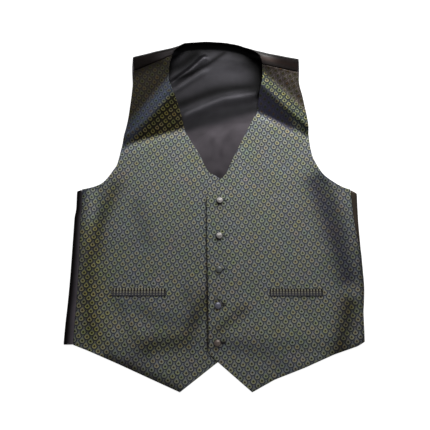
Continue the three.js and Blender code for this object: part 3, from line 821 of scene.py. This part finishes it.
def liningGrid():
    lift = (lay["backWall"] + lay["liningWall"]) / 2 + lay["gap"]

    def innerAt(front, y):
        return front["hand"] * curveAt(front["inner"], y)

    grid = []
    for i in range(lining["rows"] + 1):
        rise = i / lining["rows"]
        roughY = lerp(lining["foot"], lining["top"], rise)
        start = min(innerAt(rightFront, roughY), -lining["lapRight"]) - lining["margin"]
        end = max(innerAt(leftFront, roughY), lining["lapLeft"]) + lining["margin"]
        row = []
        for k in range(lining["columns"] + 1):
            share = k / lining["columns"]
            x = lerp(start, end, share)
            top = foldEdge(x) - foldRadius(x)
            y = lerp(lining["foot"], top, rise)
            inside = ease(0, lining["sideFade"], share) * (1 - ease(1 - lining["sideFade"], 1, share))
            folds = foldsAt(lining["folds"], x, y) * inside * (1 - ease(top - lining["topFade"], top, y))
            slack = lining["slack"] * ease(top - lining["slackFade"], top, y)
            row.append(Vector((x, y, backHeight + lift + slack + folds)))
        grid.append(row)
    last = grid[-1]
    for k in range(1, lining["turnRows"] + 1):
        angle = lerp(-quarterTurn, back["neckline"], k / lining["turnRows"])
        grid.append([roundShoulder(point.x, angle, lift + lining["slack"]) for point in last])
    return unrolled(grid)


welts = {
    "weltRight": {"front": rightFront, "node": "welt_right", "x": 140.6, "y": -165.7,
                  "length": 100, "depth": 14.5, "shift": 0.3, "lip": 0.15},
    "weltLeft": {"front": leftFront, "node": "welt_left", "x": 146.3, "y": -166.3,
                 "length": 97.5, "depth": 14, "shift": 0.6, "lip": 0.95},     # shadow in the pocket's mouth
}
weltFold = {"up": 1.7, "width": 0.9, "depth": 0.45}      # where the two lips meet
weltCells = {"rows": 16, "columns": 64}


def weltGrid(welt):
    front = welt["front"]
    rows, columns = weltCells["rows"], weltCells["columns"]
    lift = lay["gap"] + lay["weltWall"] / 2
    grid = []
    for i in range(rows + 1):
        row = []
        for j in range(columns + 1):
            dx = welt["length"] * (0.5 - j / columns)
            dy = welt["depth"] * (i / rows - 0.5)
            point = topOf(front, welt["x"] + dx, welt["y"] + dy, lift)
            point.z -= weltFold["depth"] * math.exp(-((dy - weltFold["up"]) / weltFold["width"]) ** 2)
            row.append((point, front["hand"] * dx, dy))
        grid.append(row)
    return facing(grid, front["hand"])


making = {}                              # the material being made, which the functions below add nodes to


def startMaterial(name):
    material = bpy.data.materials.new(name)
    material.use_nodes = True
    making["nodes"], making["links"] = material.node_tree.nodes, material.node_tree.links
    return material


# sets a node's inputs, or links them where the value is another node's
def setInputs(made, values):
    for key, value in values.items():
        if isinstance(value, bpy.types.NodeSocket):
            making["links"].new(value, made.inputs[key])
        else:
            made.inputs[key].default_value = value


def setShader(values):
    setInputs(making["nodes"]["Principled BSDF"], values)


def node(kind, inputs, **settings):
    made = making["nodes"].new("ShaderNode" + kind)
    for key, value in settings.items():
        setattr(made, key, value)
    setInputs(made, inputs)
    return made


def maths(operation, a, b=0.0):
    return node("Math", {0: a, 1: b}, operation=operation).outputs[0]


def times(a, b):
    return maths("MULTIPLY", a, b)


def plus(a, b):
    return maths("ADD", a, b)


def minus(a, b):
    return maths("SUBTRACT", a, b)


def vector(operation, a, b=(0, 0, 0)):
    made = node("VectorMath", {0: a, 1: b}, operation=operation)
    return made.outputs["Value" if operation in ("LENGTH", "DOT_PRODUCT") else "Vector"]


# goes softly from 0 to 1 between two edges, and the other way round
def rising(value, edges):
    return node("MapRange", {"Value": value, "From Min": edges[0], "From Max": edges[1]},
                interpolation_type="SMOOTHSTEP", clamp=True).outputs["Result"]


def falling(value, edges):
    return minus(1.0, rising(value, edges))


def opaque(colour):
    return (*colour, 1)


def blend(factor, a, b, way="MIX"):
    return node("Mix", {"Factor": factor, 6: a, 7: b}, data_type="RGBA", blend_type=way).outputs[2]


def choose(isFirst, first, second):
    return node("Mix", {"Factor": isFirst, 4: second, 5: first}, data_type="VECTOR").outputs[1]


def cloud(place, scale, detail, output="Fac", **more):
    return node("TexNoise", {"Vector": place, "Scale": scale, "Detail": detail, **more}).outputs[output]


def stripes(place, scale, **more):
    return node("TexWave", {"Vector": place, "Scale": scale, **more}, bands_direction="DIAGONAL").outputs["Fac"]


def clothPlace():
    return node("UVMap", {}, uv_map="cloth").outputs["UV"]


# a colour multiplied by the painted light and shade on the mesh's points
def paintedShadingOf(colour, layer):
    return blend(1.0, opaque(colour), node("VertexColor", {}, layer_name=layer).outputs["Color"], "MULTIPLY")


# gives the shader a colour, how light it is from place to place, and the relief of the threads
def weave(colour, light, height, relief):
    shade = node("HueSaturation", {"Color": colour, "Value": light}).outputs["Color"]
    bump = node("Bump", {"Height": height, "Strength": relief[0], "Distance": relief[1]}).outputs["Normal"]
    setShader({"Base Color": shade, "Normal": bump})


jacquard = {
    "repeat": 15.2,                      # millimetres
    "ground": (0.238, 0.266, 0.290), "ring": (0.435, 0.445, 0.28), "dot": (0.040, 0.046, 0.018),
    "warmDot": (0.085, 0.058, 0.038), "arc": (0.050, 0.050, 0.060),
    # soft edges, outwards from a motif's middle, in shares of the repeat
    "dotEdge": (0.09, 0.15), "ringEdges": ((0.10, 0.15), (0.22, 0.27)),
    "arcEdges": ((0.26, 0.30), (0.36, 0.41)), "arcTop": (0.06, 0.18),
    # a motif is round below, and drawn to a point by slanting sides above
    "roundness": 0.92, "slant": (0.92, 0.80, 0), "waist": (-0.03, 0.03),
    # how far the shape varies, and each colour from motif to motif and from patch to patch
    "unevenness": 0.10, "motifChange": (0.14, 0.10, 0.40), "patchChange": (0.30, 0.22, 0.60),
    "brokenEdge": (0.30, 0.52), "brokenLeast": 0.35,       # where the ring's yarn is broken
    "motifLeast": 0.70, "warmMotifs": (0.45, 0.95),
    "light": (0.45, 1.1),                # least light of a yarn, and how much it varies
    "threadHeight": 0.5, "ringHeight": 0.8, "relief": (0.25, 0.0002),
    "roughness": 0.46, "ringGloss": -0.06,
    "shader": {"Sheen Weight": 0.02, "Sheen Roughness": 0.4, "Specular IOR Level": 0.3, "Metallic": 0.8},
}


def jacquardMaterial(name, turn):
    material = startMaterial(name)
    scale = mapUnit / jacquard["repeat"]
    place = node("Mapping", {"Vector": clothPlace(), "Rotation": (0, 0, math.radians(turn)),
                             "Scale": (scale, scale, 1)}).outputs["Vector"]
    grey, half = (0.5, 0.5, 0.5), (0.5, 0.5, 0)
    waver = vector("SUBTRACT", cloud(place, 1.7, 2.0, "Color"), grey)
    place = vector("ADD", place, vector("MULTIPLY", waver, (jacquard["unevenness"], jacquard["unevenness"], 0)))

    # motifs stand at the corners of the repeat and half way between
    between = vector("ADD", place, half)
    first = vector("SUBTRACT", vector("FRACTION", place), half)
    second = vector("SUBTRACT", vector("FRACTION", between), half)

    def reach(local):
        flat = vector("MULTIPLY", local, (1, 1, 0))
        isUpper = rising(node("SeparateXYZ", {0: flat}).outputs["Y"], jacquard["waist"])
        upper = vector("DOT_PRODUCT", vector("ABSOLUTE", flat), jacquard["slant"])
        lower = times(vector("LENGTH", flat), jacquard["roundness"])
        return plus(times(upper, isUpper), times(lower, minus(1.0, isUpper)))

    firstReach, secondReach = reach(first), reach(second)
    isFirst = maths("LESS_THAN", firstReach, secondReach)
    out = maths("MINIMUM", firstReach, secondReach)
    up = node("SeparateXYZ", {0: choose(isFirst, first, second)}).outputs["Y"]
    whole = choose(isFirst, vector("FLOOR", place), vector("ADD", vector("FLOOR", between), half))
    motif = node("TexWhiteNoise", {"Vector": whole}, noise_dimensions="3D")
    own = motif.outputs["Value"]
    dot = falling(out, jacquard["dotEdge"])
    ring = times(rising(out, jacquard["ringEdges"][0]), falling(out, jacquard["ringEdges"][1]))
    arc = times(rising(out, jacquard["arcEdges"][0]), falling(out, jacquard["arcEdges"][1]))
    arc = times(arc, falling(up, jacquard["arcTop"]))

    # multiplies a colour by a changing one, by a share of its change about the middle
    def varied(colour, change, share):
        even = vector("ADD", vector("MULTIPLY", vector("SUBTRACT", change, grey), share), (1, 1, 1))
        return blend(1.0, colour, even, "MULTIPLY")

    patch = cloud(place, 0.55, 3.0, "Color")
    # the ring, ground, arc and dot colours carry the painted light and shade
    ringColour = varied(paintedShadingOf(jacquard["ring"], "ringPaintedShading"), motif.outputs["Color"], jacquard["motifChange"])
    ringColour = varied(ringColour, patch, jacquard["patchChange"])
    groundColour = varied(paintedShadingOf(jacquard["ground"], "groundPaintedShading"), patch, jacquard["patchChange"])
    broken = times(rising(cloud(place, 4.2, 2.0), jacquard["brokenEdge"]), 1 - jacquard["brokenLeast"])
    ring = times(ring, plus(jacquard["brokenLeast"], broken))
    shown = times(ring, plus(jacquard["motifLeast"], times(own, 1 - jacquard["motifLeast"])))
    colour = blend(shown, groundColour, ringColour)
    colour = blend(arc, colour, paintedShadingOf(jacquard["arc"], "arcPaintedShading"))
    warm = rising(own, jacquard["warmMotifs"])
    colour = blend(dot, colour, blend(warm, paintedShadingOf(jacquard["dot"], "arcPaintedShading"), paintedShadingOf(jacquard["warmDot"], "arcPaintedShading")))
    yarn = cloud(place, 7.0, 4.0, Roughness=0.7)
    threads = stripes(place, 14.0, Distortion=0.6, Detail=1.0)
    weave(colour, plus(jacquard["light"][0], times(yarn, jacquard["light"][1])),
          plus(times(threads, jacquard["threadHeight"]), times(ring, jacquard["ringHeight"])), jacquard["relief"])
    setShader({"Roughness": plus(jacquard["roughness"], times(ring, jacquard["ringGloss"])), **jacquard["shader"]})
    return material


# the welts' cloth is cut across the repeat, which shows as upright bars
weltCloth = {
    "pitch": 5.5, "barEdge": (0.14, 0.26), "bar": (0.50, 0.48, 0.36), "between": (0.045, 0.04, 0.036),
    # line: painted shade in the fold between the lips and in the pocket's mouth
    "foot": (0.07, 0.07, 0.085), "line": (0.02, 0.018, 0.02),
    "fainter": 0.3, "fainterEdge": (0.2, 0.3),             # every second bar
    # in millimetres up the welt: two lips, a row of dots at the foot, the fold and the pocket's mouth
    "lips": (((-3.4, -1.4), 0.55), ((1.4, 2.2), 0.45)), "dots": (4.6, (0.4, 1.1), 0.6),
    "foldEdge": (0.35, 1.0), "foldDepth": 0.8, "mouth": (5.2, 6.2),
    "light": (0.7, 0.6), "relief": (0.3, 0.0002),
    "shader": {"Roughness": 0.5, "Specular IOR Level": 0.3, "Metallic": 0.7},
}


def weltMaterial(name, welt):
    material = startMaterial(name)
    place = clothPlace()
    grain = cloud(place, 60.0, 3.0)
    parts = node("SeparateXYZ", {0: place})
    across = plus(times(parts.outputs["X"], mapUnit / weltCloth["pitch"]), welt["shift"])
    across = plus(across, times(grain, 0.12))
    up = times(parts.outputs["Y"], mapUnit)

    def fromMiddle(value):
        return maths("ABSOLUTE", minus(maths("FRACT", value), 0.5))

    bar = falling(fromMiddle(across), weltCloth["barEdge"])
    full = times(rising(fromMiddle(times(across, 0.5)), weltCloth["fainterEdge"]), weltCloth["fainter"])
    bar = times(bar, plus(1 - weltCloth["fainter"], full))
    lips = plus(*[times(rising(up, edges), share) for edges, share in weltCloth["lips"]])
    low, edges, share = weltCloth["dots"]
    dots = times(falling(maths("ABSOLUTE", plus(up, low)), edges), share)
    bar = times(bar, maths("MAXIMUM", lips, dots))
    fold = falling(maths("ABSOLUTE", minus(up, weltFold["up"])), weltCloth["foldEdge"])
    line = opaque(weltCloth["line"])
    colour = blend(lips, opaque(weltCloth["foot"]), opaque(weltCloth["between"]))
    colour = blend(bar, colour, opaque(weltCloth["bar"]))
    # painted shade in the fold where the lips meet, and a painted shadow in the pocket's mouth
    colour = blend(times(fold, weltCloth["foldDepth"]), colour, line)
    colour = blend(times(rising(up, weltCloth["mouth"]), welt["lip"]), colour, line)
    threads = stripes(place, 90.0, Distortion=0.6, Detail=1.0)
    weave(colour, plus(weltCloth["light"][0], times(grain, weltCloth["light"][1])), plus(threads, bar),
          weltCloth["relief"])
    setShader(weltCloth["shader"])
    return material


satin = {
    "colour": (0.0085, 0.0068, 0.0065),
    "shader": {"Roughness": 0.36, "Sheen Weight": 0.01, "Sheen Tint": (0.55, 0.50, 0.52, 1),
               "Specular IOR Level": 0.15, "Metallic": 0.85},
}
liningSatin = {
    "colour": (0.080, 0.071, 0.080),
    "shader": {"Roughness": 0.36, "Sheen Weight": 0.02, "Sheen Tint": (0.6, 0.58, 0.62, 1),
               "Specular IOR Level": 0.25, "Metallic": 0.75},
}
satinWeave = {"slub": (60, 420, 1), "slubDepth": 0.25, "light": 0.38, "relief": (0.2, 0.0001)}


def satinMaterial(name, look, painted=False):
    material = startMaterial(name)
    place = clothPlace()
    slub = cloud(node("Mapping", {"Vector": place, "Scale": satinWeave["slub"]}).outputs["Vector"], 1.0, 2.0)
    light = plus(plus(times(slub, satinWeave["slubDepth"]), cloud(place, 2.4, 2.0)), satinWeave["light"])
    # the back and the lining carry painted sheen and shade on their points
    colour = paintedShadingOf(look["colour"], "satinPaintedShading") if painted else opaque(look["colour"])
    weave(colour, light, plus(stripes(place, 130.0, Distortion=0.4), slub), satinWeave["relief"])
    setShader(look["shader"])
    return material


buttons = {
    "radius": 6.5, "sides": 48,
    # share of the radius and height, from the middle of the back to the middle of the top
    "profile": [(0, 1.1), (0.5, 1.1), (0.8, 1.1), (0.93, 1.3), (1.0, 1.9), (0.98, 2.4), (0.90, 2.75),
                (0.80, 2.8), (0.72, 2.95), (0.58, 3.5), (0.40, 3.95), (0.2, 4.15), (0, 4.2)],
    "hole": (-3.0, 12.5),                # a buttonhole's ends from the button's middle
    "dark": 0.55, "darkUpTo": 0.32, "lightFrom": 0.68,     # the resin's swirls
    "rim": 0.16, "rimEdge": (0.0050, 0.0060),              # dark round the edge, in metres
    "shader": {"Metallic": 0.25, "Coat Weight": 0.35, "Coat Roughness": 0.15},
    # each button's colour is painted lighter or darker, and tinted, for how it catches the light
    "each": [
        {"x": 7.1, "y": 7.4, "tilt": (-9, 7), "colour": (0.70, 0.67, 0.64), "roughness": 0.25},
        {"x": 6.0, "y": -61.3, "tilt": (-6, 12), "colour": (0.56, 0.53, 0.50), "roughness": 0.25},
        {"x": 5.9, "y": -124.2, "tilt": (3, -6), "colour": (0.24, 0.26, 0.26), "roughness": 0.42},
        {"x": 3.6, "y": -190.4, "tilt": (4, 5), "colour": (0.28, 0.28, 0.36), "roughness": 0.38},
        {"x": 2.6, "y": -256.7, "tilt": (-3, -5), "colour": (0.26, 0.20, 0.17), "roughness": 0.38},
    ],
}


def resinMaterial(name, button):
    material = startMaterial(name)
    look = button["colour"]
    place = node("TexCoord", {}).outputs["Object"]
    ramp = node("ValToRGB", {"Fac": cloud(place, 260.0, 3.0, Distortion=1.4)})
    dark, light = ramp.color_ramp.elements
    dark.position, light.position = buttons["darkUpTo"], buttons["lightFrom"]
    dark.color, light.color = opaque(channel * buttons["dark"] for channel in look), opaque(look)
    edge = rising(vector("LENGTH", vector("MULTIPLY", place, (1, 1, 0))), buttons["rimEdge"])
    rim = blend(edge, ramp.outputs["Color"], opaque(channel * buttons["rim"] for channel in look))
    setShader({"Base Color": rim, "Roughness": button["roughness"], **buttons["shader"]})
    return material


# a ring of points for each (share of the radius, height), turned into a closed button
def buttonMesh(name, button, finish):
    sides, radius, profile = buttons["sides"], buttons["radius"], buttons["profile"]
    points = []
    for share, height in profile[1:-1]:
        for k in range(sides):
            angle = 2 * math.pi * k / sides
            points.append((radius * share * math.cos(angle), radius * share * math.sin(angle), height))
    bottom, top = len(points), len(points) + 1
    points += [(0, 0, profile[0][1]), (0, 0, profile[-1][1])]
    rings = len(profile) - 2
    faces = ringFaces(0, rings, sides)
    for k in range(sides):
        n = (k + 1) % sides
        faces += [(bottom, n, k), ((rings - 1) * sides + k, (rings - 1) * sides + n, top)]
    piece = newPiece(name, [[value * mm for value in point] for point in points], faces, finish)
    piece.location = topOf(leftFront, button["x"], button["y"], lay["gap"]) * mm
    piece.rotation_euler = [math.radians(angle) for angle in (*button["tilt"], 0)]
    return piece


sewing = {
    "colour": (0.016, 0.016, 0.022), "radius": 0.26, "sides": 6, "steps": 4,
    "plump": (0.55, 0.45),               # of a thread's thickness at its ends, and more in its middle
    "rise": 0.35, "over": 0.05,          # how far a stitch bows up, and lies off the cloth
    # buttonhole: stitches this far apart, from near the slit outwards, and a bar at its end
    "spacing": 0.62, "slit": 0.2, "reach": 1.5, "uneven": (0.12, 2.1),
    "barStitches": 5, "barHalf": 0.9, "bar": (-0.2, 1.4),
    "shankThreads": 8, "shank": (1.5, 0.9, 1.3),           # radius on the cloth, at the button, and height
    "tackStitches": 9, "tackShare": 0.94, "tackInset": 1.1, "tackHalf": 0.8,
}


# short stitches of thread, each bowed over between two points in millimetres
def stitchMesh(name, stitches, finish, rise=sewing["rise"]):
    sides, steps = sewing["sides"], sewing["steps"]
    points, faces = [], []
    for start, end in stitches:
        side = (end - start).normalized().cross(Vector((0, 0, 1))).normalized()
        first = len(points)
        for i in range(steps + 1):
            bow = math.sin(math.pi * i / steps)
            middle = start.lerp(end, i / steps) + Vector((0, 0, rise * bow))
            thick = sewing["radius"] * (sewing["plump"][0] + sewing["plump"][1] * bow)
            for k in range(sides):
                angle = 2 * math.pi * k / sides
                points.append((middle + side * math.cos(angle) * thick + Vector((0, 0, math.sin(angle) * thick))) * mm)
        faces += ringFaces(first, steps + 1, sides)
        faces.append(tuple(first + k for k in reversed(range(sides))))
        faces.append(tuple(first + steps * sides + k for k in range(sides)))
    return newPiece(name, points, faces, finish)


def threadMaterial():
    material = startMaterial("darkThread")
    ply = stripes(node("TexCoord", {}).outputs["Object"], 900.0, Distortion=1.0)
    weave(opaque(sewing["colour"]), ply, ply, (0.3, 0.0001))
    setShader({"Roughness": 0.7})
    return material


def buttonholeStitches(button):
    def on(x, y):
        return topOf(leftFront, button["x"] + x, button["y"] + y, sewing["over"])

    stitches = []
    start, end = buttons["hole"]
    count = round((end - start) / sewing["spacing"])
    for k in range(count + 1):
        x = lerp(start, end, k / count)
        reach = sewing["reach"] + sewing["uneven"][0] * math.sin(k * sewing["uneven"][1])
        for way in (-1, 1):
            stitches.append((on(x, way * sewing["slit"]), on(x, way * reach)))
    for k in range(sewing["barStitches"]):
        y = lerp(-sewing["barHalf"], sewing["barHalf"], k / (sewing["barStitches"] - 1))
        stitches.append(tuple(on(end + past, y) for past in sewing["bar"]))
    return stitches


# threads that hold a button, from its back down to the cloth
def shankStitches(button):
    seat = topOf(leftFront, button["x"], button["y"])
    wide, narrow, height = sewing["shank"]
    stitches = []
    for k in range(sewing["shankThreads"]):
        angle = 2 * math.pi * k / sewing["shankThreads"]
        out = Vector((math.cos(angle), math.sin(angle), 0))
        stitches.append((seat + out * wide, seat + out * narrow + Vector((0, 0, height))))
    return stitches


def tackStitches(welt):
    lift = lay["gap"] + lay["weltWall"] + sewing["over"]
    half = sewing["tackShare"] / 2
    stitches = []
    for way in (-1, 1):
        x = welt["x"] + way * (welt["length"] / 2 - sewing["tackInset"])
        for k in range(sewing["tackStitches"]):
            y = welt["y"] + welt["depth"] * lerp(-half, half, (k + 0.5) / sewing["tackStitches"])
            stitches.append(tuple(topOf(welt["front"], x + past, y, lift)
                                  for past in (-sewing["tackHalf"], sewing["tackHalf"])))
    return stitches


makeView()
print("view set")

half = table["size"] / 2
corners = [(-half, -half, 0), (half, -half, 0), (half, half, 0), (-half, half, 0)]
floor = newPiece("tableTop", corners, [(0, 1, 2, 3)], startMaterial("paleTable"))
floor.location.z = -table["drop"]
setShader({"Base Color": opaque(table["colour"]), "Roughness": table["roughness"],
           "Emission Color": (1, 1, 1, 1), "Emission Strength": table["glow"]})

insideSatin = satinMaterial("insideSatin", liningSatin)
backSatin = satinMaterial("backSatin", satin, True)

for front in (rightFront, leftFront):
    finish = jacquardMaterial(front["name"] + "Jacquard", front["grain"])
    piece = clothMesh(front["name"], facing(frontGrid(front), front["hand"]), lay["frontWall"], finish, insideSatin, 0,
                      paintedShadingOf=lambda point: frontPaintedShading(front, point), turned=lambda point: strapTurn(front, point))
    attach(piece, "root")
    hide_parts(front["node"])
    print(front["name"], "made")

backPiece = clothMesh("backPanel", facing(backGrid(), 1), lay["backWall"], backSatin, insideSatin, paintedShadingOf=backPaintedShading)
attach(backPiece, "root")
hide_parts("back_panel")
print("back made")

liningFinish = satinMaterial("liningSatin", liningSatin, True)
liningPiece = clothMesh("backLining", liningGrid(), lay["liningWall"], liningFinish, paintedShadingOf=liningPaintedShading)
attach(liningPiece, "root")
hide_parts("back_lining")
print("lining made")

darkThread = threadMaterial()
for name, welt in welts.items():
    piece = clothMesh(name, weltGrid(welt), lay["weltWall"], weltMaterial(name + "Jacquard", welt), insideSatin)
    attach(piece, "root")
    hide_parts(welt["node"])
    tacks = stitchMesh(name + "Tacks", tackStitches(welt), darkThread)
    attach(tacks, "root")
print("welts made")

for k, button in enumerate(buttons["each"], 1):
    piece = buttonMesh("button%d" % k, button, resinMaterial("buttonResin%d" % k, button))
    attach(piece, "root")
    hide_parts("button_%d" % k)
    for sewn in (stitchMesh("buttonhole%d" % k, buttonholeStitches(button), darkThread),
                 stitchMesh("buttonThread%d" % k, shankStitches(button), darkThread, 0)):
        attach(sewn, "root")
print("buttons made")
